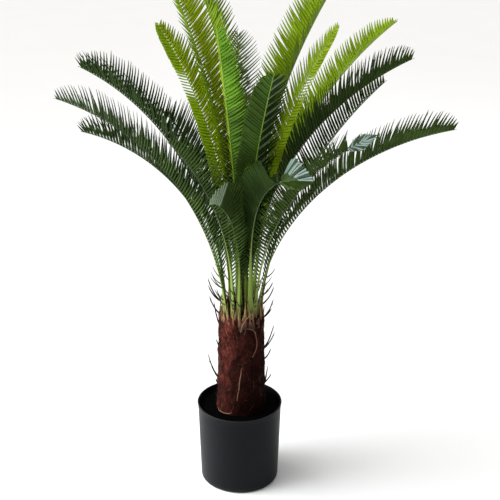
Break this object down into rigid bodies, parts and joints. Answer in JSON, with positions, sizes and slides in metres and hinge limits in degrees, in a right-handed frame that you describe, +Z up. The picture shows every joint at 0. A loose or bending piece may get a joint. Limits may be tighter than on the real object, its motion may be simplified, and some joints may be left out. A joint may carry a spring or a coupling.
{
  "type": "artificial sago palm in a pot",
  "caption": "Artificial sago palm: feathery arching fronds rise from a coir-wrapped trunk that stands in a round black plastic pot.",
  "frame": {"origin": "centre of the pot's flat underside, on the pot's own axis", "axes": "+Z up along the pot's axis, +X to the right and -Y towards the viewer of the picture"},
  "size_m": [0.62, 0.4869, 0.8954],
  "materials": {
    "pot_plastic": "matt moulded plastic",
    "pot_fill": "dull black, rough",
    "trunk_core": "dull, hidden under the coir",
    "coir": "matted brown fibre",
    "scale_fibre": "dry brown fibre",
    "frond_dark": "satin moulded leaf",
    "frond_light": "satin moulded leaf"
  },
  "bodies": {
    "root": {"pot": "pot_plastic", "pot_fill": "pot_fill", "trunk": "trunk_core", "coir_band_low": "coir", "coir_band_middle": "coir", "coir_band_high": "coir", "leaf_scales": "scale_fibre", "frond_left_low": "frond_dark", "frond_left_middle": "frond_dark", "frond_left_high": "frond_dark", "frond_right_low": "frond_dark", "frond_right_middle": "frond_dark", "frond_right_high": "frond_dark", "frond_front_left": "frond_dark", "frond_front_right": "frond_dark", "frond_front_arch": "frond_dark", "frond_front_twisted": "frond_dark", "frond_back_right": "frond_dark", "frond_back": "frond_dark", "frond_back_left": "frond_dark", "frond_heart_front": "frond_dark", "frond_heart_back": "frond_dark", "frond_heart_left": "frond_dark", "frond_young_left_low": "frond_light", "frond_young_left_middle": "frond_light", "frond_young_left_high": "frond_light", "frond_young_right_high": "frond_light", "frond_young_right_middle": "frond_light", "frond_young_right_low": "frond_light"}
  },
  "joints": []
}
